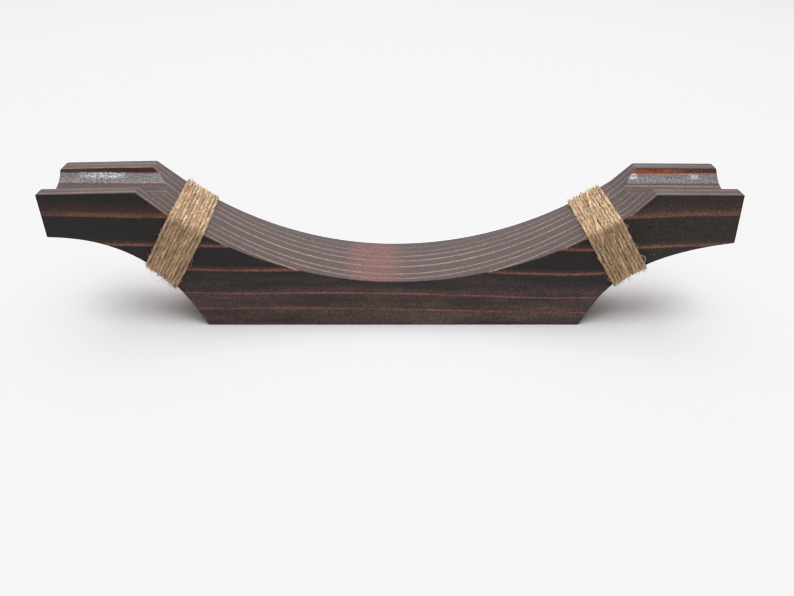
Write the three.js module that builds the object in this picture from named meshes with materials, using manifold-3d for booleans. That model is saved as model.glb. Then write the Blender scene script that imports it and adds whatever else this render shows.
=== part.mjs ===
// A cradle stand for one long slender thing, such as a flute. It is cut from one softwood board: a low
// foot, two raised arms that end in level wings, a cove along the top of each wing, and an open arch
// between them. A jute twine is wound tightly round each arm.
//
// Millimetres. X runs along the stand, Y through the board's thickness with the front at -Y, Z is up.
// The origin is the middle of the foot's underside.

import * as THREE from 'three';
import { mergeVertices } from 'three/addons/utils/BufferGeometryUtils.js';
import Module from 'manifold-3d';

// The board
const THICKNESS = 38;

// The end face of each wing, from its top corner to its bottom corner, as X and Z
const END_LEFT = { top: [-145.7, 62.05], bottom: [-144.8, 42.85] };
const END_RIGHT = { top: [145, 63.05], bottom: [145.7, 40.95] };

// The arch: two arcs that share their lowest point, each up to a straight ramp with its top on the wing
const ARCH_LOW = { x: 0.8, z: 22.2 };
const ARCH_LEFT = { radius: 158, sweep: 37, rampTop: [-105.5, 63.15] };
const ARCH_RIGHT = { radius: 168, sweep: 36.2, rampTop: [108.6, 63.05] };

// The underside of each wing: where it lands on the floor, and the two points that pull its curve
const UNDER_LEFT = { pulls: [[-110, 42.7], [-94.3, 25]], foot: -82.2 };
const UNDER_RIGHT = { pulls: [[89.9, 33.5], [88.9, 6.5]], foot: 83.5 };

// The coves
const COVE_RADIUS = 14.5;
const COVE_FLOOR = 56.7;
const COVE_LENGTH = 145;
const COVE_MIDDLE = 116;
const COVE_Y = { left: -1.2, right: 0.4 };
const COVE_SIDES = 64;
const CURVE_STEPS = 20;

// The twine and how it is wound round an arm
const TWINE_RADIUS = 0.65;
const TWINE_SIDES = 6;
const TWINE_GAP = 0.35;
const TURN_PITCH = 1.44;
const TURNS = 11;
const BINDING_LEFT = { middle: [-93.1, 37.4], lean: 30 };
const BINDING_RIGHT = { middle: [95.1, 37.1], lean: -31.9 };

const wood = new THREE.MeshStandardMaterial({ color: 0x5a4a44, roughness: 0.55, metalness: 0 });
const jute = new THREE.MeshStandardMaterial({ color: 0xc49f72, roughness: 0.95, metalness: 0 });

const wasm = await Module();
wasm.setup();

function toSolid(geometry) {
  const bare = geometry.clone();
  bare.deleteAttribute('normal');
  bare.deleteAttribute('uv');
  const merged = mergeVertices(bare);
  const vertProperties = new Float32Array(merged.attributes.position.array);
  const triVerts = new Uint32Array(merged.index.array);
  return new wasm.Manifold(new wasm.Mesh({ numProp: 3, vertProperties, triVerts }));
}

function toGeometry(solid) {
  const mesh = solid.getMesh();
  const geometry = new THREE.BufferGeometry();
  geometry.setAttribute('position', new THREE.BufferAttribute(mesh.vertProperties, 3));
  geometry.setIndex(new THREE.BufferAttribute(mesh.triVerts, 1));
  geometry.computeVertexNormals();
  return geometry;
}

// The outline in the X-Z plane, anticlockwise from the foot's left corner
function standOutline() {
  const low = -Math.PI / 2;
  const shape = new THREE.Shape();
  shape.moveTo(UNDER_LEFT.foot, 0);
  shape.lineTo(UNDER_RIGHT.foot, 0);
  const [rightEnd, rightFoot] = UNDER_RIGHT.pulls;
  shape.bezierCurveTo(...rightFoot, ...rightEnd, ...END_RIGHT.bottom);
  shape.lineTo(...END_RIGHT.top);
  shape.lineTo(...ARCH_RIGHT.rampTop);
  const rightSweep = THREE.MathUtils.degToRad(ARCH_RIGHT.sweep);
  shape.absarc(ARCH_LOW.x, ARCH_LOW.z + ARCH_RIGHT.radius, ARCH_RIGHT.radius, low + rightSweep, low, true);
  const leftSweep = THREE.MathUtils.degToRad(ARCH_LEFT.sweep);
  shape.absarc(ARCH_LOW.x, ARCH_LOW.z + ARCH_LEFT.radius, ARCH_LEFT.radius, low, low - leftSweep, true);
  shape.lineTo(...ARCH_LEFT.rampTop);
  shape.lineTo(...END_LEFT.top);
  shape.lineTo(...END_LEFT.bottom);
  const [leftEnd, leftFoot] = UNDER_LEFT.pulls;
  shape.bezierCurveTo(...leftEnd, ...leftFoot, UNDER_LEFT.foot, 0);
  return shape;
}

// A round bar that lies along a wing and runs past both its ends
function coveCutter(side, y) {
  const cutter = new THREE.CylinderGeometry(COVE_RADIUS, COVE_RADIUS, COVE_LENGTH, COVE_SIDES);
  cutter.rotateZ(Math.PI / 2);
  cutter.translate(side * COVE_MIDDLE, y, COVE_FLOOR + COVE_RADIUS);
  return toSolid(cutter);
}

function standBody(outline) {
  const options = { depth: THICKNESS, bevelEnabled: false, curveSegments: CURVE_STEPS };
  const board = new THREE.ExtrudeGeometry(outline, options);
  board.rotateX(Math.PI / 2);
  board.translate(0, THICKNESS / 2, 0);
  const cut = toSolid(board)
    .subtract(coveCutter(-1, COVE_Y.left))
    .subtract(coveCutter(1, COVE_Y.right));
  return toGeometry(cut);
}

// How far it is from a point inside the outline to its edge, in one direction
function reach(corners, from, direction) {
  let nearest = Infinity;
  corners.forEach((a, i) => {
    const b = corners[(i + 1) % corners.length];
    const edge = b.clone().sub(a);
    const gap = a.clone().sub(from);
    const turn = direction.cross(edge);
    const distance = gap.cross(edge) / turn;
    const along = gap.cross(direction) / turn;
    if (distance > 0 && along >= 0 && along <= 1) nearest = Math.min(nearest, distance);
  });
  return nearest;
}

// The points of a twine wound round an arm, three at each corner of every turn
function windingRoute(corners, binding) {
  const lean = THREE.MathUtils.degToRad(binding.lean);
  const across = new THREE.Vector2(Math.sin(lean), Math.cos(lean));
  const along = new THREE.Vector2(across.y, -across.x);
  const middle = new THREE.Vector2(...binding.middle);
  const clear = TWINE_RADIUS + TWINE_GAP;
  const quarter = [[-1, 1], [1, 1], [1, -1], [-1, -1]];
  const points = [];
  for (let corner = 0; corner < 4 * TURNS; corner += 1) {
    const [ySide, zSide] = quarter[corner % 4];
    const offset = (corner / 4 - TURNS / 2) * TURN_PITCH;
    const centre = middle.clone().addScaledVector(along, offset);
    const up = across.clone().multiplyScalar(zSide);
    const edge = reach(corners, centre, up);
    const first = corner % 2 === 0 ? 0 : 90;
    for (const turn of [0, 45, 90]) {
      const angle = THREE.MathUtils.degToRad(Math.abs(first - turn));
      const y = ySide * (THICKNESS / 2 + clear * Math.cos(angle));
      const place = centre.clone().addScaledVector(up, edge + clear * Math.sin(angle));
      points.push(new THREE.Vector3(place.x, y, place.y));
    }
  }
  return points;
}

// A path whose steps land exactly on its own points
class WoundPath extends THREE.Curve {
  constructor(points) {
    super();
    this.points = points;
  }

  getPoint(t) {
    const place = t * (this.points.length - 1);
    const i = Math.min(Math.floor(place), this.points.length - 2);
    return this.points[i].clone().lerp(this.points[i + 1], place - i);
  }

  getPointAt(t) {
    return this.getPoint(t);
  }

  getTangentAt(t) {
    const i = Math.round(t * (this.points.length - 1));
    const before = this.points[Math.max(i - 1, 0)];
    const after = this.points[Math.min(i + 1, this.points.length - 1)];
    return after.clone().sub(before).normalize();
  }
}

function twineBinding(corners, binding) {
  const points = windingRoute(corners, binding);
  const section = new THREE.Shape();
  const rim = new THREE.EllipseCurve(0, 0, TWINE_RADIUS, TWINE_RADIUS);
  section.setFromPoints(rim.getPoints(TWINE_SIDES).slice(0, TWINE_SIDES));
  return new THREE.ExtrudeGeometry(section, {
    steps: points.length - 1,
    extrudePath: new WoundPath(points),
    curveSegments: 1,
  });
}

function named(name, geometry, material) {
  const mesh = new THREE.Mesh(geometry, material);
  mesh.name = name;
  return mesh;
}

const outline = standOutline();
const corners = outline.getPoints(CURVE_STEPS);
const group = new THREE.Group();
group.add(named('stand_body', standBody(outline), wood));
group.add(named('left_binding', twineBinding(corners, BINDING_LEFT), jute));
group.add(named('right_binding', twineBinding(corners, BINDING_RIGHT), jute));

export default group;
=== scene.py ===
"""A cradle stand cut from one stained pine board, with a jute twine wound round each arm.

Sizes in the classes are in millimetres and are turned to metres where a mesh is made. X runs along the
stand, the front face looks towards -Y, and Z is up from the table.
"""

import logging
import math
import random
from dataclasses import dataclass, field
from enum import Enum
from typing import Callable

import bmesh
import bpy
from mathutils import Matrix, Vector
from mathutils.bvhtree import BVHTree


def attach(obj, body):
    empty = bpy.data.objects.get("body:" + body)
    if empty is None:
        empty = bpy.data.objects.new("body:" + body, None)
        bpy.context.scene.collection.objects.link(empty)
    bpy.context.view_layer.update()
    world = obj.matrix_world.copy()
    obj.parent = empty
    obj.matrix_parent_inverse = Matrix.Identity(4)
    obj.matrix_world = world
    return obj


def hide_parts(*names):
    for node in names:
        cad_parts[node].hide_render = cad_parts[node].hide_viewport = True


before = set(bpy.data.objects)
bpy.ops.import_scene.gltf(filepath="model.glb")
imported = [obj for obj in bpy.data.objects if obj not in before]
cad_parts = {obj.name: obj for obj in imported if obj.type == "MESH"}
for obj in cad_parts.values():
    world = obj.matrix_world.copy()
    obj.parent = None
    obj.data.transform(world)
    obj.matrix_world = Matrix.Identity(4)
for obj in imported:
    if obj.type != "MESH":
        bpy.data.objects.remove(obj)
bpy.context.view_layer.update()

MM = 0.001
BODY = "root"
BLACK = (0.0, 0.0, 0.0, 1.0)
LOG = logging.getLogger("cradle_stand")
Marks = Callable[[bpy.types.NodeTree, bpy.types.NodeSocket, bpy.types.NodeSocket], bpy.types.NodeSocket]


class Side(Enum):
    """The two ends of the stand, as the sign of X."""

    LEFT = -1
    RIGHT = 1


class Slot(Enum):
    """The record's material slots."""

    WOOD = "stained_wood"
    JUTE = "jute_twine"


# ---------------------------------------------------------------------------------------------
# Helpers
# ---------------------------------------------------------------------------------------------


def linear(hex_colour: str) -> tuple[float, float, float, float]:
    """Turn an sRGB hex colour to linear RGBA.

    Args:
        hex_colour: six hex digits after a hash.

    Returns:
        Linear red, green, blue and an alpha of 1.
    """
    parts = [int(hex_colour[i:i + 2], 16) / 255 for i in (1, 3, 5)]
    red, green, blue = (p / 12.92 if p <= 0.04045 else ((p + 0.055) / 1.055) ** 2.4 for p in parts)
    return red, green, blue, 1.0


def add_node(
    tree: bpy.types.NodeTree,
    kind: str,
    inputs: dict[int | str, object] | None = None,
    **settings: object,
) -> bpy.types.Node:
    """Add a node with its settings, values and links.

    Args:
        tree: the node tree.
        kind: the node's type, without the ShaderNode prefix.
        inputs: a value or an output socket for each input, by name or number.
        settings: the node's own properties.

    Returns:
        The new node.
    """
    node = tree.nodes.new("ShaderNode" + kind)
    for name, value in settings.items():
        setattr(node, name, value)
    for name, value in (inputs or {}).items():
        if isinstance(value, bpy.types.NodeSocket):
            tree.links.new(value, node.inputs[name])
        else:
            node.inputs[name].default_value = value
    return node


def ramp(
    tree: bpy.types.NodeTree, value: bpy.types.NodeSocket, start: float, end: float,
    low: float = 0.0, high: float = 1.0, smooth: bool = False,
) -> bpy.types.NodeSocket:
    """Turn a value from start to end into one from low to high, held at both ends.

    Args:
        tree: the node tree.
        value: the value.
        start: where the result is low.
        end: where the result is high.
        low: the result at the start.
        high: the result at the end.
        smooth: whether the result eases in and out.

    Returns:
        The result.
    """
    inputs = {"Value": value, "From Min": start, "From Max": end, "To Min": low, "To Max": high}
    kind = "SMOOTHSTEP" if smooth else "LINEAR"
    return add_node(tree, "MapRange", inputs, interpolation_type=kind).outputs[0]


def product(tree: bpy.types.NodeTree, *factors: bpy.types.NodeSocket | float) -> bpy.types.NodeSocket:
    """Multiply values.

    Args:
        tree: the node tree.
        factors: the values.

    Returns:
        Their product.
    """
    result = factors[0]
    for factor in factors[1:]:
        result = add_node(tree, "Math", {0: result, 1: factor}, operation="MULTIPLY").outputs[0]
    return result


def maths(
    tree: bpy.types.NodeTree, operation: str, *values: bpy.types.NodeSocket | float,
) -> bpy.types.NodeSocket:
    """Work out a sum with numbers."""
    return add_node(tree, "Math", dict(enumerate(values)), operation=operation).outputs[0]


def vector_maths(tree: bpy.types.NodeTree, operation: str, *values: object) -> bpy.types.NodeSocket:
    """Work out a sum with vectors, whose result is a number for a length or a distance."""
    node = add_node(tree, "VectorMath", dict(enumerate(values)), operation=operation)
    return node.outputs["Value" if operation in ("LENGTH", "DISTANCE") else "Vector"]


def fade(
    tree: bpy.types.NodeTree, value: bpy.types.NodeSocket, reach: tuple[float, float],
    low: float = 0.0, high: float = 1.0, smooth: bool = False,
) -> bpy.types.NodeSocket:
    """Ramp a length over a reach in millimetres.

    Args:
        tree: the node tree.
        value: the length, in metres.
        reach: where the result is low and where it is high.
        low: the result at the reach's start.
        high: the result at its end.
        smooth: whether the result eases in and out.

    Returns:
        The result.
    """
    return ramp(tree, value, reach[0] * MM, reach[1] * MM, low, high, smooth)


def unit_noise(
    tree: bpy.types.NodeTree, vector: bpy.types.NodeSocket, detail: float, roughness: float,
) -> bpy.types.Node:
    """Add noise with grains about one unit of the vector apart.

    Args:
        tree: the node tree.
        vector: the place in the noise.
        detail: how many finer layers it has.
        roughness: how strong those layers are.

    Returns:
        The noise node.
    """
    inputs = {"Vector": vector, "Scale": 1.0, "Detail": detail, "Roughness": roughness}
    return add_node(tree, "TexNoise", inputs)


def blend(
    tree: bpy.types.NodeTree, factor: bpy.types.NodeSocket | float,
    first: object, second: object, mode: str = "MIX",
) -> bpy.types.NodeSocket:
    """Mix two colours.

    Args:
        tree: the node tree.
        factor: how much of the second.
        first: the first colour.
        second: the second colour.
        mode: how they mix.

    Returns:
        The mixed colour.
    """
    inputs = {"Factor": factor, "A": first, "B": second}
    return add_node(tree, "Mix", inputs, data_type="RGBA", blend_type=mode).outputs["Result"]


def new_material(name: str) -> tuple[bpy.types.Material, bpy.types.NodeTree, bpy.types.Node]:
    """Make an empty node material.

    Args:
        name: the material's name.

    Returns:
        The material, its node tree and its Principled shader.
    """
    material = bpy.data.materials.new(name)
    material.use_nodes = True
    tree = material.node_tree
    shader = tree.nodes["Principled BSDF"]
    return material, tree, shader


def make_object(name: str, bm: bmesh.types.BMesh, materials: list[bpy.types.Material]) -> bpy.types.Object:
    """Turn a bmesh into an object of the scene and free it.

    Args:
        name: the object's name.
        bm: the mesh, in metres.
        materials: its material slots.

    Returns:
        The new object, at the origin.
    """
    mesh = bpy.data.meshes.new(name)
    bm.to_mesh(mesh)
    bm.free()
    for material in materials:
        mesh.materials.append(material)
    obj = bpy.data.objects.new(name, mesh)
    bpy.context.scene.collection.objects.link(obj)
    return obj


def baked_mesh(obj: bpy.types.Object) -> bpy.types.Mesh:
    """Give an object's mesh with its modifiers or curve bevel applied, and remove the object.

    Args:
        obj: a mesh or curve object.

    Returns:
        The evaluated mesh, as a new mesh.
    """
    bpy.context.view_layer.update()
    evaluated = obj.evaluated_get(bpy.context.evaluated_depsgraph_get())
    mesh = bpy.data.meshes.new_from_object(evaluated)
    bpy.data.objects.remove(obj)
    return mesh


# ---------------------------------------------------------------------------------------------
# Finishes
# ---------------------------------------------------------------------------------------------


@dataclass(frozen=True)
class StainedPine:
    """Flat-sawn pine, planed and sanded, with a dark stain under a satin varnish.

    The stain soaks into the soft early wood, which goes almost black, and hardly into the hard late
    wood, which stays as thin reddish lines. The rings are circles about a pith in front of the board,
    so each face shows its own cut through them.
    """

    pith: tuple[float, float] = (-149.0, 83.0)
    rings: tuple[float, ...] = (
        126.5, 133.1, 136.8, 140.9, 145.9, 149.6, 156.2, 161.3, 165.6, 169.7, 174.1, 178.5, 183.2, 187.8,
    )
    face_early: str = "#17110f"
    # colour of the floor's reflection, painted low on the planed faces
    face_floor_reflection: str = "#5b4842"
    face_late: str = "#7d4d3f"
    edge_early: str = "#352522"
    edge_late: str = "#9b7464"
    cove_late: str = "#8c6253"
    rubbed: str = "#703d32"
    bare_left: str = "#340a06"
    bare_right: str = "#853e19"
    # pale colour of the glints painted into the coves' varnish
    painted_glint: str = "#b8bbc4"
    dust: str = "#a3987f"
    wander: float = 1.1
    dip: float = 2.3
    dip_at: float = 78.0
    dip_width: float = 34.0
    drift: tuple[float, float, float] = (9.0, 26.0, 26.0)
    # where the painted floor reflection starts and where it is strongest, in millimetres up
    floor_reflection_reach: tuple[float, float] = (32.0, 8.0)
    dusty: tuple[float, float] = (95.0, 112.0)
    rubbed_middle: tuple[float, float, float] = (-9.0, -2.0, 22.0)
    rubbed_reach: tuple[float, float, float] = (17.0, 48.0, 5.0)
    strip_foot: tuple[float, float] = (60.6, 61.0)
    strip_top: tuple[float, float] = (62.7, 62.5)
    strip_end: tuple[float, float] = (124.0, 138.0)
    pool_foot: tuple[float, float] = (57.4, 58.6)
    pool_core: tuple[float, float] = (58.6, 59.6)
    pool_top: tuple[float, float] = (61.3, 60.6)
    pool_least: float = 0.28
    pinhole: tuple[float, float, float] = (107.9, -19.0, 48.5)
    # where the varnish flecks, and the glints painted with them, are strongest
    wettest: tuple[tuple[float, float], ...] = ((-127.0, 15.0), (107.0, 3.0), (134.5, 3.5))

    def wavy(self, tree: bpy.types.NodeTree, place: bpy.types.NodeSocket) -> bpy.types.NodeSocket:
        """Push a place about by the waviness of the grain, and lift it where the grain dips.

        Args:
            tree: the node tree.
            place: the surface's place in metres.

        Returns:
            The place in the grain.
        """
        stretched = add_node(tree, "Mapping", {"Vector": place, "Scale": self.drift}).outputs[0]
        drift = unit_noise(tree, stretched, 1.5, 0.45).outputs["Color"]
        centred = vector_maths(tree, "SUBTRACT", drift, (0.5, 0.5, 0.5))
        size = 2 * self.wander * MM
        push = vector_maths(tree, "MULTIPLY", centred, (0.0, size, size))
        along = add_node(tree, "SeparateXYZ", {0: place}).outputs["X"]
        offset = maths(tree, "SUBTRACT", along, self.dip_at * MM)
        ratio = maths(tree, "DIVIDE", offset, self.dip_width * MM)
        spread = maths(tree, "ADD", product(tree, ratio, ratio), 1.0)
        bend = maths(tree, "DIVIDE", self.dip * MM, spread)
        lift = add_node(tree, "CombineXYZ", {"Z": bend}).outputs[0]
        return vector_maths(tree, "ADD", vector_maths(tree, "ADD", place, push), lift)

    def ring_number(self, tree: bpy.types.NodeTree, wavy: bpy.types.NodeSocket) -> bpy.types.NodeSocket:
        """Count the growth rings from the pith outwards.

        Args:
            tree: the node tree.
            wavy: the place in the grain.

        Returns:
            The ring's number, which is whole at each late-wood line.
        """
        from_pith = vector_maths(tree, "SUBTRACT", wavy, (0.0, self.pith[0] * MM, self.pith[1] * MM))
        radius = vector_maths(tree, "LENGTH", vector_maths(tree, "MULTIPLY", from_pith, (0.0, 1.0, 1.0)))
        first, last = self.rings[0], self.rings[-1]
        curve = add_node(tree, "FloatCurve", {"Value": ramp(tree, radius, first * MM, last * MM)})
        line = curve.mapping.curves[0]
        for number, ring in enumerate(self.rings[1:-1], start=1):
            line.points.new((ring - first) / (last - first), number / (len(self.rings) - 1))
        for point in line.points:
            point.handle_type = "VECTOR"
        curve.mapping.update()
        return product(tree, curve.outputs[0], float(len(self.rings) - 1))

    def late_wood(self, tree: bpy.types.NodeTree, number: bpy.types.NodeSocket) -> bpy.types.NodeSocket:
        """Mark the late wood, which comes in slowly and ends at once.

        Args:
            tree: the node tree.
            number: the ring number.

        Returns:
            0 in early wood to 1 in late wood.
        """
        phase = maths(tree, "FRACT", maths(tree, "ADD", number, 0.5))
        faint = ramp(tree, phase, 0.3, 0.45, high=0.25)
        clear = ramp(tree, phase, 0.43, 0.5, high=0.75, smooth=True)
        rise = maths(tree, "ADD", faint, clear)
        outer = ramp(tree, number, 8.4, 9.4, low=1.0, high=0.25)
        return product(tree, rise, ramp(tree, phase, 0.575, 0.535, smooth=True), outer)

    def noise(
        self, tree: bpy.types.NodeTree, place: bpy.types.NodeSocket, grain: tuple[float, float, float],
    ) -> bpy.types.NodeSocket:
        """Give noise with grains of a set size.

        Args:
            tree: the node tree.
            place: the surface's place.
            grain: the grains' size along X, Y and Z, in millimetres.

        Returns:
            A value about 0.5.
        """
        scale = tuple(1 / (size * MM) for size in grain)
        scaled = add_node(tree, "Mapping", {"Vector": place, "Scale": scale}).outputs[0]
        return unit_noise(tree, scaled, 3.0, 0.6).outputs[0]

    def face_marks(
        self, tree: bpy.types.NodeTree, place: bpy.types.NodeSocket, colour: bpy.types.NodeSocket,
    ) -> bpy.types.NodeSocket:
        """Mark the planed faces: a painted reflection of the floor towards the foot, dust on the right wing,
        one pinhole painted black as its shade.

        Args:
            tree: the node tree.
            place: the surface's place.
            colour: the stained wood's colour.

        Returns:
            The colour with the marks.
        """
        parts = add_node(tree, "SeparateXYZ", {0: place})
        # Painted reflection: the face is lightened towards the foot, where the floor's light reflects on it.
        low = fade(tree, parts.outputs["Z"], self.floor_reflection_reach, high=0.9)
        patchy = ramp(tree, self.noise(tree, place, (40, 5, 5)), 0.35, 0.65, low=0.4)
        thin = blend(tree, product(tree, low, patchy), BLACK, linear(self.face_floor_reflection))
        with_floor_reflection = blend(tree, 1.0, colour, thin, "LIGHTEN")
        speck = ramp(tree, self.noise(tree, place, (0.9, 0.9, 0.9)), 0.67, 0.72, low=0.03, high=0.7)
        dusty = product(tree, speck, fade(tree, parts.outputs["X"], self.dusty))
        dusted = blend(tree, dusty, with_floor_reflection, linear(self.dust))
        # Painted shade: a black spot stands in for the shaded hollow of the pinhole, which the mesh does not
        # have.
        centre = tuple(value * MM for value in self.pinhole)
        pinhole_shade = fade(tree, vector_maths(tree, "DISTANCE", place, centre), (0.9, 0.6))
        return blend(tree, pinhole_shade, dusted, BLACK)

    def edge_marks(
        self, tree: bpy.types.NodeTree, place: bpy.types.NodeSocket, colour: bpy.types.NodeSocket,
    ) -> bpy.types.NodeSocket:
        """Mark the sawn edges: the stain is sanded thin on the lowest part of the arch.

        Args:
            tree: the node tree.
            place: the surface's place.
            colour: the stained wood's colour.

        Returns:
            The colour with the rubbed patch.
        """
        middle = tuple(value * MM for value in self.rubbed_middle)
        shape = tuple(1 / (value * MM) for value in self.rubbed_reach)
        away = vector_maths(tree, "SUBTRACT", place, middle)
        distance = vector_maths(tree, "LENGTH", vector_maths(tree, "MULTIPLY", away, shape))
        return blend(tree, ramp(tree, distance, 1.0, 0.4, high=0.5, smooth=True), colour, linear(self.rubbed))

    def cove_marks(
        self, tree: bpy.types.NodeTree, place: bpy.types.NodeSocket, colour: bpy.types.NodeSocket,
    ) -> bpy.types.NodeSocket:
        """Mark the coves: maroon high on the left one's wall, bare orange wood high on the right one's.

        Args:
            tree: the node tree.
            place: the surface's place.
            colour: the stained wood's colour.

        Returns:
            The colour with the strips and the painted glints.
        """
        parts = add_node(tree, "SeparateXYZ", {0: place})
        height = parts.outputs["Z"]
        high = product(tree, fade(tree, height, self.strip_foot), fade(tree, height, self.strip_top))
        share = ramp(tree, self.noise(tree, place, (16, 2, 2)), 0.38, 0.5, low=0.35)
        right = maths(tree, "GREATER_THAN", parts.outputs["X"], 0.0)
        cover = add_node(tree, "Mix", {"Factor": right, "A": 1.0, "B": share}).outputs["Result"]
        fading = fade(tree, maths(tree, "ABSOLUTE", parts.outputs["X"]), self.strip_end, low=1.0, high=0.2)
        bare = blend(tree, right, linear(self.bare_left), linear(self.bare_right))
        striped = blend(tree, product(tree, high, cover, fading), colour, bare)
        # Painted highlight: pale glint flecks are mixed into the colour where the varnish collects, on top of
        # the coat's own gloss.
        return blend(tree, product(tree, self.pooled(tree, place), 0.75), striped, linear(self.painted_glint))

    def pooled(self, tree: bpy.types.NodeTree, place: bpy.types.NodeSocket) -> bpy.types.NodeSocket:
        """Mark where varnish pooled half way up a cove's back wall, in flecks; the mask sets the coat's gloss
        and where painted glints lighten the colour.

        Args:
            tree: the node tree.
            place: the surface's place.

        Returns:
            0 where there is no pooled varnish to 1 where there is most.
        """
        parts = add_node(tree, "SeparateXYZ", {0: place})
        low = fade(tree, parts.outputs["Z"], self.pool_foot, smooth=True)
        top = fade(tree, parts.outputs["Z"], self.pool_top, smooth=True)
        core = fade(tree, parts.outputs["Z"], self.pool_core, smooth=True)
        speckle = self.noise(tree, place, (0.9, 0.6, 0.6))
        flecks = ramp(tree, speckle, 0.4, 0.62, low=0.6)
        sparks = product(tree, core, ramp(tree, speckle, 0.42, 0.58, low=0.35))
        amount = add_node(tree, "Value").outputs[0]
        amount.default_value = self.pool_least
        for middle, half in self.wettest:
            away = maths(tree, "ABSOLUTE", maths(tree, "SUBTRACT", parts.outputs["X"], middle * MM))
            near = product(tree, sparks, fade(tree, away, (half, 0.3 * half), smooth=True))
            amount = maths(tree, "MAXIMUM", amount, near)
        return product(tree, low, top, flecks, amount)

    def dress(
        self, tree: bpy.types.NodeTree, shader: bpy.types.Node, tones: tuple[str, str], marks: Marks,
    ) -> bpy.types.NodeSocket:
        """Fill a material with the wood's colour and grain.

        Args:
            tree: the material's node tree.
            shader: its Principled shader.
            tones: the colours of the early and the late wood.
            marks: the method that adds this finish's own marks.

        Returns:
            The surface's place, for more nodes.
        """
        place = add_node(tree, "TexCoord").outputs["Object"]
        late = self.late_wood(tree, self.ring_number(tree, self.wavy(tree, place)))
        height = add_node(tree, "SeparateXYZ", {0: place}).outputs["Z"]
        strength = product(
            tree, ramp(tree, self.noise(tree, place, (30, 10, 10)), 0.3, 0.6, low=0.55),
            fade(tree, height, (50.0, 36.0), low=0.7),
        )
        wood = blend(tree, product(tree, late, strength), linear(tones[0]), linear(tones[1]))
        streaks = self.noise(tree, place, (12, 0.5, 0.5))
        shade = product(
            tree, ramp(tree, streaks, 0.25, 0.75, 0.72, 1.3),
            ramp(tree, self.noise(tree, place, (1.1, 0.8, 0.8)), 0.3, 0.7, 0.42, 1.65),
        )
        colour = blend(tree, 1.0, marks(tree, place, wood), shade, "MULTIPLY")
        bump = add_node(tree, "Bump", {"Strength": 1.0, "Distance": 0.04 * MM, "Height": streaks})
        tree.links.new(colour, shader.inputs["Base Color"])
        tree.links.new(bump.outputs[0], shader.inputs["Normal"])
        return place

    def planed(self) -> bpy.types.Material:
        """Make the finish of the planed faces, front and back: nearly black and almost matt."""
        material, tree, shader = new_material("dark_stained_pine")
        self.dress(tree, shader, (self.face_early, self.face_late), self.face_marks)
        shader.inputs["Roughness"].default_value = 0.6
        shader.inputs["Specular IOR Level"].default_value = 0.35
        return material

    def sawn(self) -> bpy.types.Material:
        """Make the finish of the sawn and sanded edges: pale lines under a grey satin sheen."""
        material, tree, shader = new_material("sanded_pine_edge")
        self.dress(tree, shader, (self.edge_early, self.edge_late), self.edge_marks)
        shader.inputs["Roughness"].default_value = 0.42
        shader.inputs["Specular IOR Level"].default_value = 0.34
        shader.inputs["Sheen Weight"].default_value = 0.02
        return material

    def routed(self) -> bpy.types.Material:
        """Make the finish of the coves' back walls: varnish pooled glossy and lumpy half way up, with pale
        glints painted into the colour there.
        """
        material, tree, shader = new_material("varnished_pine_cove")
        place = self.dress(tree, shader, (self.edge_early, self.cove_late), self.cove_marks)
        lumps = self.noise(tree, place, (0.9, 0.7, 0.7))
        skin = add_node(tree, "Bump", {"Strength": 1.0, "Distance": 0.35 * MM, "Height": lumps})
        tree.links.new(self.pooled(tree, place), shader.inputs["Coat Weight"])
        tree.links.new(skin.outputs[0], shader.inputs["Coat Normal"])
        shader.inputs["Roughness"].default_value = 0.5
        shader.inputs["Specular IOR Level"].default_value = 0.15
        shader.inputs["Coat IOR"].default_value = 2.1
        shader.inputs["Coat Roughness"].default_value = 0.15
        return material


@dataclass(frozen=True)
class JuteTwine:
    """Natural jute, spun and plied: matt, hairy, straw to light brown, with shade painted into the colour
    where the fibres lie low in the grooves.
    """

    pale: str = "#e6c59e"
    dark: str = "#775435"
    # colour of the shade painted into the twine's grooves
    groove_shade: str = "#5f4029"
    fibre: float = 0.11

    def streaks(self, tree: bpy.types.NodeTree, length: float, count: float) -> bpy.types.NodeSocket:
        """Give noise that is drawn out along a ply.

        Args:
            tree: the node tree.
            length: how long the streaks are, in millimetres.
            count: how many lie side by side over half the ply.

        Returns:
            A value about 0.5.
        """
        along = add_node(tree, "Attribute", attribute_name="along").outputs["Fac"]
        around = add_node(tree, "Attribute", attribute_name="around").outputs["Fac"]
        lengthways = product(tree, along, 1 / (length * MM))
        grid = add_node(tree, "CombineXYZ", {0: lengthways, 1: product(tree, around, count)}).outputs[0]
        return unit_noise(tree, grid, 2.5, 0.6).outputs[0]

    def material(self) -> bpy.types.Material:
        """Make the finish, with fibres that run along each ply and shade painted dark into the grooves
        between the turns.
        """
        material, tree, shader = new_material("plied_jute")
        height = add_node(tree, "Attribute", attribute_name="height").outputs["Fac"]
        fibres = self.streaks(tree, 2.5, 9.0)
        tone = self.streaks(tree, 9.0, 1.2)
        both = maths(tree, "ADD", fibres, tone)
        spun = blend(tree, ramp(tree, both, 0.8, 1.16), linear(self.dark), linear(self.pale))
        # Painted shade: the colour goes dark where a ply's surface lies low, in the grooves between plies and
        # turns.
        lifted = maths(tree, "ADD", height, ramp(tree, tone, 0.35, 0.65, -0.25, 0.25))
        crest = ramp(tree, lifted, 0.05, 0.8, smooth=True)
        colour = blend(tree, crest, linear(self.groove_shade), spun)
        bump = add_node(tree, "Bump", {"Strength": 1.0, "Distance": self.fibre * MM, "Height": fibres})
        tree.links.new(colour, shader.inputs["Base Color"])
        tree.links.new(bump.outputs[0], shader.inputs["Normal"])
        shader.inputs["Roughness"].default_value = 0.95
        shader.inputs["Specular IOR Level"].default_value = 0.2
        shader.inputs["Sheen Weight"].default_value = 0.25
        return material


# ---------------------------------------------------------------------------------------------
# The board
# ---------------------------------------------------------------------------------------------


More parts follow.
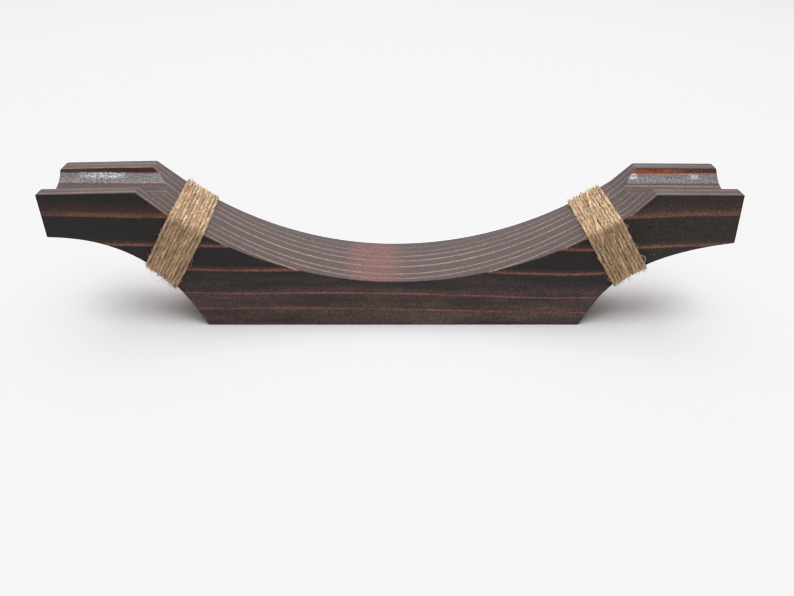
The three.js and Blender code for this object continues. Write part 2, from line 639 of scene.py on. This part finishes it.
@dataclass
class Arc:
    """One half of the arch: its radius, how far it turns from the low point, and its ramp's top."""

    radius: float
    sweep: float
    ramp_top: tuple[float, float]


@dataclass
class EndFace:
    """The end of a wing, from its top corner to its bottom corner."""

    top: tuple[float, float]
    bottom: tuple[float, float]


@dataclass
class Underside:
    """The curve under a wing: where it lands on the floor, and the two points that pull it."""

    foot: float
    pull_end: tuple[float, float]
    pull_foot: tuple[float, float]


@dataclass
class Board:
    """The wooden stand, sawn to its outline, with a cove routed along each wing."""

    name: str = "pine_stand"
    thickness: float = 38.0
    ends: dict[Side, EndFace] = field(default_factory=lambda: {
        Side.LEFT: EndFace((-145.7, 62.05), (-144.8, 42.85)),
        Side.RIGHT: EndFace((145.0, 63.05), (145.7, 40.95)),
    })
    low: tuple[float, float] = (0.8, 22.2)
    arcs: dict[Side, Arc] = field(default_factory=lambda: {
        Side.LEFT: Arc(158.0, 37.0, (-105.5, 63.15)),
        Side.RIGHT: Arc(168.0, 36.2, (108.6, 63.05)),
    })
    undersides: dict[Side, Underside] = field(default_factory=lambda: {
        Side.LEFT: Underside(-82.2, (-110.0, 42.7), (-94.3, 25.0)),
        Side.RIGHT: Underside(83.5, (89.9, 33.5), (88.9, 6.5)),
    })
    cove_radius: float = 14.5
    cove_floor: float = 56.7
    cove_middle: float = 116.0
    cove_length: float = 145.0
    cove_y: dict[Side, float] = field(default_factory=lambda: {Side.LEFT: -1.2, Side.RIGHT: 0.4})
    cove_sides: int = 72
    curve_steps: int = 44
    ease: float = 0.5
    wood: StainedPine = field(default_factory=StainedPine)

    def arc_end(self, side: Side) -> tuple[tuple[float, float], tuple[float, float], float]:
        """Work out where the arch ends on one side.

        Args:
            side: which half of the arch.

        Returns:
            The arc's end, its handle towards the low point, and the length of a handle.
        """
        arc = self.arcs[side]
        turn = math.radians(arc.sweep)
        handle = 4 / 3 * math.tan(turn / 4) * arc.radius
        x = self.low[0] + side.value * arc.radius * math.sin(turn)
        z = self.low[1] + arc.radius * (1 - math.cos(turn))
        pull = (x - side.value * handle * math.cos(turn), z - handle * math.sin(turn))
        return (x, z), pull, handle

    def outline_points(self) -> list[tuple]:
        """List the outline's points with the handle that comes in and the one that goes out.

        Returns:
            For each point, its place, then each handle, or None where that side is straight.
        """
        left, right = self.undersides[Side.LEFT], self.undersides[Side.RIGHT]
        left_end, right_end = self.ends[Side.LEFT], self.ends[Side.RIGHT]
        left_arc, left_pull, left_handle = self.arc_end(Side.LEFT)
        right_arc, right_pull, right_handle = self.arc_end(Side.RIGHT)
        low_x, low_z = self.low
        return [
            ((left.foot, 0.0), left.pull_foot, None),
            ((right.foot, 0.0), None, right.pull_foot),
            (right_end.bottom, right.pull_end, None),
            (right_end.top, None, None),
            (self.arcs[Side.RIGHT].ramp_top, None, None),
            (right_arc, None, right_pull),
            ((low_x, low_z), (low_x + right_handle, low_z), (low_x - left_handle, low_z)),
            (left_arc, left_pull, None),
            (self.arcs[Side.LEFT].ramp_top, None, None),
            (left_end.top, None, None),
            (left_end.bottom, None, left.pull_end),
        ]

    def outline(self) -> bmesh.types.BMesh:
        """Make the outline as one face, standing in the X-Z plane.

        Returns:
            A bmesh with the outline filled.
        """
        points = self.outline_points()
        curve = bpy.data.curves.new("outline", "CURVE")
        curve.dimensions = "2D"
        curve.fill_mode = "NONE"
        curve.resolution_u = self.curve_steps
        spline = curve.splines.new("BEZIER")
        spline.bezier_points.add(len(points) - 1)
        spline.use_cyclic_u = True
        for point, (place, comes, goes) in zip(spline.bezier_points, points):
            point.co = Vector((*place, 0.0)) * MM
            point.handle_left_type = "FREE" if comes else "VECTOR"
            point.handle_right_type = "FREE" if goes else "VECTOR"
            if comes:
                point.handle_left = Vector((*comes, 0.0)) * MM
            if goes:
                point.handle_right = Vector((*goes, 0.0)) * MM
        holder = bpy.data.objects.new("outline", curve)
        bpy.context.scene.collection.objects.link(holder)
        bm = bmesh.new()
        bm.from_mesh(baked_mesh(holder))
        bmesh.ops.remove_doubles(bm, verts=bm.verts, dist=0.01 * MM)
        bmesh.ops.edgenet_fill(bm, edges=bm.edges)
        bmesh.ops.rotate(bm, verts=bm.verts, matrix=Matrix.Rotation(math.pi / 2, 3, "X"))
        return bm

    def slab(self) -> bmesh.types.BMesh:
        """Give the outline its thickness."""
        bm = self.outline()
        bmesh.ops.translate(bm, verts=bm.verts, vec=(0.0, -self.thickness / 2 * MM, 0.0))
        grown = bmesh.ops.extrude_face_region(bm, geom=bm.faces[:])["geom"]
        far_side = [item for item in grown if isinstance(item, bmesh.types.BMVert)]
        bmesh.ops.translate(bm, verts=far_side, vec=(0.0, self.thickness * MM, 0.0))
        bmesh.ops.recalc_face_normals(bm, faces=bm.faces)
        return bm

    def cove_axis(self, side: Side) -> tuple[float, float]:
        """Give the Y and Z of a cove's centre line."""
        return self.cove_y[side], self.cove_floor + self.cove_radius

    def cutters(self) -> bmesh.types.BMesh:
        """Make the two round bars that cut the coves."""
        bm = bmesh.new()
        for side in Side:
            y, z = self.cove_axis(side)
            place = Matrix.Translation(Vector((side.value * self.cove_middle, y, z)) * MM)
            turn = Matrix.Rotation(math.pi / 2, 4, "Y")
            bmesh.ops.create_cone(
                bm, cap_ends=True, segments=self.cove_sides, radius1=self.cove_radius * MM,
                radius2=self.cove_radius * MM, depth=self.cove_length * MM, matrix=place @ turn,
            )
        return bm

    def cut_coves(self, bm: bmesh.types.BMesh) -> bmesh.types.BMesh:
        """Cut the coves out of the slab.

        Args:
            bm: the slab.

        Returns:
            The slab with its coves.
        """
        slab = make_object("slab", bm, [])
        bars = make_object("bars", self.cutters(), [])
        cut = slab.modifiers.new("coves", "BOOLEAN")
        cut.operation = "DIFFERENCE"
        cut.solver = "EXACT"
        cut.object = bars
        result = bmesh.new()
        result.from_mesh(baked_mesh(slab))
        bpy.data.objects.remove(bars)
        bmesh.ops.remove_doubles(result, verts=result.verts, dist=0.02 * MM)
        return result

    def in_back_wall(self, face: bmesh.types.BMFace) -> bool:
        """Tell whether a face is part of a cove's back wall."""
        centre = face.calc_center_median() / MM
        side = Side.LEFT if centre.x < 0 else Side.RIGHT
        y, z = self.cove_axis(side)
        away = math.hypot(centre.y - y, centre.z - z)
        return abs(away - self.cove_radius) < 0.05 and centre.y - y > 4.5 and abs(face.normal.x) < 0.1

    def finish_number(self, face: bmesh.types.BMFace) -> int:
        """Choose a face's finish: 0 for planed, 1 for sawn, 2 for a cove's back wall."""
        if self.in_back_wall(face):
            return 2
        return 0 if abs(face.normal.y) > 0.7 else 1

    def build(self) -> bpy.types.Object:
        """Build the board with eased edges and dress it.

        Returns:
            The finished piece.
        """
        bm = self.cut_coves(self.slab())
        for face in bm.faces:
            face.smooth = True
            face.material_index = self.finish_number(face)
        sharp = [edge for edge in bm.edges if edge.is_manifold and edge.calc_face_angle() > math.radians(9.5)]
        bmesh.ops.bevel(
            bm, geom=sharp, offset=self.ease * MM, offset_type="OFFSET", affect="EDGES", segments=3,
            profile=0.5, material=-1, clamp_overlap=False, loop_slide=True,
        )
        bmesh.ops.recalc_face_normals(bm, faces=bm.faces)
        for face in bm.faces:
            face.smooth = True
        board = make_object(self.name, bm, [self.wood.planed(), self.wood.sawn(), self.wood.routed()])
        board.modifiers.new("flat_faces", "WEIGHTED_NORMAL").keep_sharp = True
        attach(board, BODY)
        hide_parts("stand_body")
        return board


# ---------------------------------------------------------------------------------------------
# The bindings
# ---------------------------------------------------------------------------------------------


@dataclass
class RoutePoint:
    """A point on the twine's middle line, with the way it runs and the way out of the wood."""

    place: Vector
    out: Vector
    run: Vector = field(default_factory=lambda: Vector((0.0, 1.0, 0.0)))


Fill = Callable[[bpy.types.Curve, list[RoutePoint]], None]


@dataclass
class Binding:
    """A jute twine wound tightly round one arm, from the wing side to the foot side."""

    name: str
    node: str
    middle: tuple[float, float]
    lean: float
    seed: int
    cross_over: bool
    turns: int = 11
    pitch: float = 1.44
    radius: float = 0.68
    plies: int = 3
    ply_radius: float = 0.6
    ply_offset: float = 0.2
    lay: float = 13.0
    step: float = 0.8
    ring: int = 8
    corner: float = 1.2
    hairs: int = 3200
    hair_radius: float = 0.16
    hair_length: tuple[float, float] = (1.0, 3.5)
    tail_turns: tuple[float, float] = (6.3, 6.7)
    tail_shift: tuple[float, float] = (0.16, -0.2)
    tail_lift: float = 1.15
    bow_turn: float = 0.19
    bow_length: float = 4.6
    bow_reach: float = 1.5
    bow_radius: float = 0.35
    thickness: float = 38.0
    jute: JuteTwine = field(default_factory=JuteTwine)

    def __post_init__(self) -> None:
        """Work out the directions across and along the arm, and start the random draws."""
        lean = math.radians(self.lean)
        self.across = Vector((math.sin(lean), 0.0, math.cos(lean)))
        self.along = Vector((math.cos(lean), 0.0, -math.sin(lean)))
        self.draws = random.Random(self.seed)
        quarters = 4 * self.turns + 8
        self.wander = [self.draws.uniform(-0.16, 0.16) for _ in range(quarters)]
        self.puff = [self.draws.uniform(-0.03, 0.15) for _ in range(quarters)]

    def loop(self, share: float, low: float, high: float) -> tuple[float, float, float, float]:
        """Find a point on the round-cornered loop of one turn, starting under the arm.

        Args:
            share: how far round the loop, from 0 to 1.
            low: how far the loop reaches below the arm's middle.
            high: how far it reaches above.

        Returns:
            Y and height of the point, and Y and height of the way out.
        """
        half = self.thickness / 2 + self.radius
        flat, tall = half - self.corner, low + high - 2 * self.corner
        bend = math.pi / 2 * self.corner
        runs = [
            ((0.0, -low), (1.0, 0.0), flat, (0.0, -1.0)),
            ((flat, self.corner - low), None, bend, -90.0),
            ((half, self.corner - low), (0.0, 1.0), tall, (1.0, 0.0)),
            ((flat, high - self.corner), None, bend, 0.0),
            ((flat, high), (-1.0, 0.0), 2 * flat, (0.0, 1.0)),
            ((-flat, high - self.corner), None, bend, 90.0),
            ((-half, high - self.corner), (0.0, -1.0), tall, (-1.0, 0.0)),
            ((-flat, self.corner - low), None, bend, 180.0),
            ((-flat, -low), (1.0, 0.0), flat, (0.0, -1.0)),
        ]
        left = share * sum(run[2] for run in runs)
        for start, way, size, out in runs:
            if left <= size:
                break
            left -= size
        left = min(left, size)
        if way is not None:
            return start[0] + way[0] * left, start[1] + way[1] * left, out[0], out[1]
        angle = math.radians(out + 90 * left / size)
        out_y, out_z = math.cos(angle), math.sin(angle)
        return start[0] + self.corner * out_y, start[1] + self.corner * out_z, out_y, out_z

    def between(self, values: list[float], turn: float) -> float:
        """Read a list of quarter-turn values smoothly."""
        place = turn * 4
        i = int(place)
        mix = place - i
        mix = mix * mix * (3 - 2 * mix)
        return values[i] * (1 - mix) + values[i + 1] * mix

    def point(
        self, tree: BVHTree, turn: float, raised: float = 0.0, shift: float | None = None,
    ) -> RoutePoint:
        """Find the twine's middle line at a place of the winding.

        Args:
            tree: the board, to measure the arm.
            turn: how many turns from the start.
            raised: how far the twine stands off the turn below it.
            shift: how far along the arm, or None for the winding's own place.

        Returns:
            The point and the way out of the wood.
        """
        if shift is None:
            shift = (turn - self.turns / 2) * self.pitch + self.between(self.wander, turn)
        centre = Vector((self.middle[0], 0.0, self.middle[1])) + self.along * shift
        up = tree.ray_cast(centre * MM, self.across)[3] / MM
        down = tree.ray_cast(centre * MM, -self.across)[3] / MM
        y, height, out_y, out_z = self.loop(turn % 1.0, down + self.radius, up + self.radius)
        out = Vector((0.0, out_y, 0.0)) + self.across * out_z
        lift = self.between(self.puff, turn) + raised
        place = centre + Vector((0.0, y, 0.0)) + self.across * height + out * lift
        return RoutePoint(place, out)

    def spaced(self, rough: list[RoutePoint]) -> list[RoutePoint]:
        """Space points evenly along a rough route.

        Args:
            rough: close points along the route.

        Returns:
            Points one step apart, each with the way the twine runs.
        """
        points = [rough[0]]
        walked = 0.0
        for before, after in zip(rough, rough[1:]):
            gap = (after.place - before.place).length
            while walked + gap >= self.step:
                share = (self.step - walked) / gap
                place = before.place.lerp(after.place, share)
                before = RoutePoint(place, before.out.lerp(after.out, share).normalized())
                points.append(before)
                gap = (after.place - before.place).length
                walked = 0.0
            walked += gap
        for i, point in enumerate(points):
            ahead = points[min(i + 1, len(points) - 1)].place
            behind = points[max(i - 1, 0)].place
            point.run = (ahead - behind).normalized()
        return points

    def winding(self, tree: BVHTree) -> list[RoutePoint]:
        """Wind the twine round the arm, from a point every degree and a half."""
        steps = 240
        rough = [self.point(tree, i / steps) for i in range(self.turns * steps + 1)]
        return self.spaced(rough)

    def crossing(self, tree: BVHTree) -> list[RoutePoint]:
        """Lay the tail slantwise over the turns on the arm's top, tucked in at both edges."""
        steps = 90
        rough = []
        for i in range(steps + 1):
            share = i / steps
            turn = self.tail_turns[0] + (self.tail_turns[1] - self.tail_turns[0]) * share
            raised = self.tail_lift * self.radius * min(1.0, 5 * share, 5 * (1 - share))
            slant = self.tail_shift[0] + (self.tail_shift[1] - self.tail_shift[0]) * share
            shift = self.pitch * self.turns * slant
            rough.append(self.point(tree, turn, raised, shift))
        return self.spaced(rough)

    def add_plies(self, curve: bpy.types.Curve, points: list[RoutePoint]) -> None:
        """Twist the plies round a route.

        Args:
            curve: the curve that gets them.
            points: the route.
        """
        for ply in range(self.plies):
            fat = [self.draws.uniform(0.86, 1.16) for _ in range(len(points) // 7 + 9)]
            spline = curve.splines.new("POLY")
            spline.points.add(len(points) - 1)
            for i, (target, point) in enumerate(zip(spline.points, points)):
                angle = math.tau * (i * self.step / self.lay + ply / self.plies)
                side = point.run.cross(point.out)
                spread = point.out * math.cos(angle) + side * math.sin(angle)
                place = (point.place + spread * self.ply_offset) * MM
                target.co = (*place, 1.0)
                target.radius = self.between(fat, i / 28)

    def add_hairs(self, curve: bpy.types.Curve, points: list[RoutePoint]) -> None:
        """Let loose fibres stand off the twine in shallow bows.

        Args:
            curve: the curve that gets them.
            points: the route.
        """
        for _ in range(self.hairs):
            root = self.draws.choice(points)
            length = self.draws.uniform(*self.hair_length)
            rise = 0.45 * self.draws.random() ** 3
            way = self.draws.choice((-1, 1))
            sideways = root.run.cross(root.out)
            heading = root.run * way + sideways * self.draws.uniform(-0.35, 0.35) + root.out * rise
            heading.normalize()
            curl = root.out * self.draws.uniform(-0.5, 0.2) + sideways * self.draws.uniform(-0.8, 0.8)
            curl.normalize()
            base = root.place + root.out * (self.radius + 0.02) + sideways * self.draws.uniform(-0.4, 0.4)
            spline = curve.splines.new("POLY")
            spline.points.add(3)
            for i, target in enumerate(spline.points):
                share = i / 3
                place = base + heading * length * share + curl * length * 0.3 * share * share
                target.co = (*(place * MM), 1.0)
                target.radius = self.hair_radius * (1 - 0.5 * share)

    def add_bow(self, curve: bpy.types.Curve, points: list[RoutePoint]) -> None:
        """Let one fibre bow off the last turn, low on the front face.

        Args:
            curve: the curve that gets it.
            points: the route.
        """
        root = points[round(len(points) * (self.turns - self.bow_turn) / self.turns)]
        spline = curve.splines.new("POLY")
        spline.points.add(8)
        for i, target in enumerate(spline.points):
            share = i / 8
            place = root.place + root.out * (self.radius + 0.1) - root.run * self.bow_length * (share - 0.5)
            place += self.along * (0.4 + self.bow_reach * math.sin(math.pi * share))
            target.co = (*(place * MM), 1.0)
            target.radius = self.bow_radius

    def tubes(self, name: str, fill: Fill, points: list[RoutePoint], sides: int) -> bmesh.types.BMesh:
        """Make a set of cords round and give each point its place along and around its cord.

        Args:
            name: a name for the passing curve.
            fill: the method that adds the splines.
            points: the route.
            sides: how many sides a cord has.

        Returns:
            The closed tubes.
        """
        curve = bpy.data.curves.new(name, "CURVE")
        curve.dimensions = "3D"
        curve.bevel_depth = self.ply_radius * MM
        curve.bevel_resolution = sides // 2 - 2
        fill(curve, points)
        holder = bpy.data.objects.new(name, curve)
        bpy.context.scene.collection.objects.link(holder)
        bm = bmesh.new()
        bm.from_mesh(baked_mesh(holder))
        along = bm.verts.layers.float.new("along")
        around = bm.verts.layers.float.new("around")
        height = bm.verts.layers.float.new("height")
        count = len(curve.splines[0].points)
        for i, vert in enumerate(bm.verts):
            vert[along] = i // sides * self.step * MM
            vert[around] = abs(i % sides / sides - 0.5) * 2
            # height: how far a point stands out from the route, which sets where the twine's shade is painted
            vert[height] = 1.0
            if count == len(points):
                point = points[i // sides % count]
                vert[height] = (vert.co / MM - point.place).dot(point.out) / self.radius
        bmesh.ops.holes_fill(bm, edges=[edge for edge in bm.edges if edge.is_boundary], sides=sides)
        return bm

    def build(self, board: bpy.types.Object) -> bpy.types.Object:
        """Wind, ply and dress the twine.

        Args:
            board: the finished board.

        Returns:
            The finished piece.
        """
        tree = BVHTree.FromPolygons(
            [vert.co for vert in board.data.vertices], [face.vertices for face in board.data.polygons],
        )
        route = self.winding(tree)
        LOG.info("%s: %.2f m of twine", self.name, len(route) * self.step * MM)
        bm = self.tubes("plies", self.add_plies, route, self.ring)
        extras = [self.tubes("hairs", self.add_hairs, route, 4)]
        if self.cross_over:
            extras.append(self.tubes("tail", self.add_plies, self.crossing(tree), self.ring))
            extras.append(self.tubes("bow", self.add_bow, route, 4))
        for extra in extras:
            mesh = bpy.data.meshes.new("extra")
            extra.to_mesh(mesh)
            extra.free()
            bm.from_mesh(mesh)
            bpy.data.meshes.remove(mesh)
        for face in bm.faces:
            face.smooth = True
        bmesh.ops.recalc_face_normals(bm, faces=bm.faces)
        piece = make_object(self.name, bm, [self.jute.material()])
        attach(piece, BODY)
        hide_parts(self.node)
        return piece


# ---------------------------------------------------------------------------------------------
# The studio
# ---------------------------------------------------------------------------------------------


@dataclass(frozen=True)
class Softbox:
    """A square soft light that looks at the stand: its place and side in metres, its power in watts."""

    name: str
    place: tuple[float, float, float]
    side: float
    power: float

    def hang(self) -> None:
        """Put the light in the scene."""
        light = bpy.data.lights.new(self.name, "AREA")
        light.shape = "SQUARE"
        light.size = self.side
        light.energy = self.power
        lamp = bpy.data.objects.new(self.name, light)
        lamp.location = self.place
        lamp.rotation_euler = (-Vector(self.place)).to_track_quat("-Z", "Y").to_euler()
        bpy.context.scene.collection.objects.link(lamp)


@dataclass
class Studio:
    """A pale paper sweep, soft lights above and behind, and the camera."""

    softboxes: tuple[Softbox, ...] = (
        Softbox("key", (0.0, -0.42, 1.25), 0.7, 4.5),
        Softbox("ceiling", (0.0, 0.0, 1.3), 1.9, 30.5),
        Softbox("back", (0.0, 1.2, 0.9), 1.6, 8.0),
    )

    floor_colour: str = "#e6e5e7"
    camera_place: tuple[float, float, float] = (-7.04, -313.64, 184.98)
    camera_pitch: float = 30.12
    camera_yaw: float = 1.68
    camera_roll: float = 0.88
    camera_lens: float = 35.1
    sweep_front: float = -300.0
    sweep_back: float = 1300.0
    sweep_bend: float = 500.0
    sweep_width: float = 5000.0
    brightest: float = 1.6
    shoulder: tuple[tuple[float, float], ...] = (
        (0.25, 0.25), (0.5, 0.5), (0.7, 0.69), (0.85, 0.81), (1.0, 0.875), (1.2, 0.92),
    )
    paper_white: float = 0.945

    def sweep(self) -> bpy.types.Object:
        """Make the paper: a flat floor that curves up into a wall behind."""
        bm = bmesh.new()
        start = bm.verts.new(Vector((-self.sweep_width / 2, self.sweep_front, 0.0)) * MM)
        flat = bmesh.ops.extrude_vert_indiv(bm, verts=[start])["verts"][0]
        flat.co.y = self.sweep_back * MM
        centre = Vector((0.0, self.sweep_back, self.sweep_bend)) * MM
        bend = bmesh.ops.spin(
            bm, geom=[flat], cent=centre, axis=(1.0, 0.0, 0.0), angle=math.radians(80), steps=16,
        )["geom_last"]
        top = next(item for item in bend if isinstance(item, bmesh.types.BMVert))
        wall = bmesh.ops.extrude_vert_indiv(bm, verts=[top])["verts"][0]
        wall.co += Vector((0.0, 100.0, 600.0)) * MM
        wide = bmesh.ops.extrude_edge_only(bm, edges=bm.edges[:])["geom"]
        moved = [item for item in wide if isinstance(item, bmesh.types.BMVert)]
        bmesh.ops.translate(bm, verts=moved, vec=(self.sweep_width * MM, 0.0, 0.0))
        bmesh.ops.recalc_face_normals(bm, faces=bm.faces)
        for face in bm.faces:
            face.smooth = True
        material, _, shader = new_material("matt_paper")
        shader.inputs["Base Color"].default_value = linear(self.floor_colour)
        shader.inputs["Roughness"].default_value = 0.9
        shader.inputs["Specular IOR Level"].default_value = 0.1
        paper = make_object("paper_sweep", bm, [material])
        return paper

    def world(self) -> None:
        """Fill the room with white light that comes from behind the stand more than from the front."""
        world = bpy.data.worlds.new("white_room")
        world.use_nodes = True
        tree = world.node_tree
        way = add_node(tree, "SeparateXYZ", {0: add_node(tree, "TexCoord").outputs["Generated"]}).outputs["Y"]
        background = tree.nodes["Background"]
        background.inputs["Color"].default_value = linear("#ffffff")
        tree.links.new(ramp(tree, way, 0.1, 0.8, high=1.0), background.inputs["Strength"])
        bpy.context.scene.world = world

    def camera(self) -> None:
        """Set up the camera."""
        data = bpy.data.cameras.new("camera")
        data.lens = self.camera_lens
        data.sensor_width = 36.0
        data.clip_start = 0.01
        data.clip_end = 50.0
        camera = bpy.data.objects.new("camera", data)
        yaw, pitch = math.radians(self.camera_yaw), math.radians(self.camera_pitch)
        turn = Matrix.Rotation(-yaw, 4, "Z") @ Matrix.Rotation(math.pi / 2 - pitch, 4, "X")
        turn = turn @ Matrix.Rotation(math.radians(self.camera_roll), 4, "Z")
        camera.matrix_world = Matrix.Translation(Vector(self.camera_place) * MM) @ turn
        bpy.context.scene.collection.objects.link(camera)
        bpy.context.scene.camera = camera

    def tone(self) -> None:
        """Roll the highlights off as a camera does, so the paper stays just below white."""
        view = bpy.context.scene.view_settings
        view.view_transform = "Standard"
        view.use_curve_mapping = True
        mapping = view.curve_mapping
        mapping.white_level = (self.brightest,) * 3
        line = mapping.curves[3]
        line.points[-1].location = (1.0, self.paper_white)
        for bright, shown in self.shoulder:
            line.points.new(bright / self.brightest, shown)
        for point in line.points:
            point.handle_type = "VECTOR"
        mapping.update()

    def build(self) -> None:
        """Set up the whole studio."""
        self.camera()
        self.sweep()
        self.world()
        for softbox in self.softboxes:
            softbox.hang()
        self.tone()


def main() -> None:
    """Build the stand piece by piece, light it and note its size."""
    logging.basicConfig(level=logging.INFO, format="%(name)s: %(message)s")
    Studio().build()
    board = Board().build()
    LOG.info("%s: %d faces", board.name, len(board.data.polygons))
    bindings = [
        Binding("left_jute_binding", "left_binding", (-93.1, 37.4), 30.0, 7, False),
        Binding("right_jute_binding", "right_binding", (95.1, 37.1), -31.9, 12, True),
    ]
    for binding in bindings:
        piece = binding.build(board)
        LOG.info("%s: %d faces", piece.name, len(piece.data.polygons))


if __name__ == "__main__":
    main()
